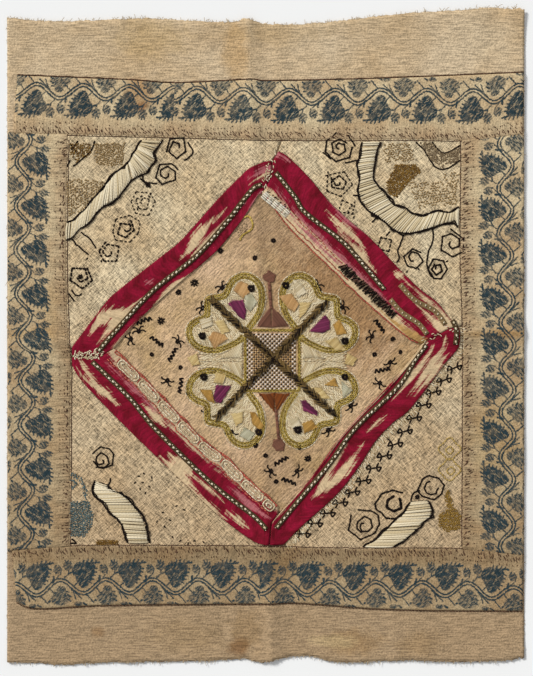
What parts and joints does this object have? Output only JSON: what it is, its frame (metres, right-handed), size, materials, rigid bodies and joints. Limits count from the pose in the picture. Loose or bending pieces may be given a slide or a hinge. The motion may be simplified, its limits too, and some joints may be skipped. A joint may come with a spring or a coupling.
{
  "type": "embroidered panel",
  "caption": "Flat rectangular patchwork panel with block-printed borders, a silk-framed diamond and an embroidered rosette.",
  "frame": {"origin": "on the surface that the panel lies on, under the middle of its outline", "axes": "+X across the panel to the right, +Y up the panel, +Z out of its embroidered face"},
  "size_m": [0.3996, 0.5078, 0.0073],
  "materials": {
    "plain_linen": "plain-woven linen with slubs, stained with age",
    "printed_cotton": "cream cotton block-printed in slate blue",
    "ribbed_cloth": "coarse ribbed cloth with satin-stitch, outline and seed-stitch embroidery",
    "centre_linen": "tan linen with chain-stitch and lattice embroidery",
    "ikat_silk": "crimson ikat silk with feathered cream streaks",
    "dotted_braid": "narrow dark olive braid with cream dots",
    "tan_braid": "narrow tan braid with cream dots"
  },
  "bodies": {
    "root": {"ground_cloth": "plain_linen", "border_top": "printed_cotton", "border_bottom": "printed_cotton", "border_left": "printed_cotton", "border_right": "printed_cotton", "corner_tl": "ribbed_cloth", "corner_tr": "ribbed_cloth", "corner_bl": "ribbed_cloth", "corner_br": "ribbed_cloth", "centre_cloth": "centre_linen", "ikat_tl": "ikat_silk", "ikat_tr": "ikat_silk", "ikat_br": "ikat_silk", "ikat_bl": "ikat_silk", "braid_tl": "dotted_braid", "braid_tr": "dotted_braid", "braid_br": "dotted_braid", "braid_bl": "dotted_braid", "braid_point": "dotted_braid", "braid_tan_inner": "tan_braid", "braid_tan_outer": "tan_braid"}
  },
  "joints": []
}
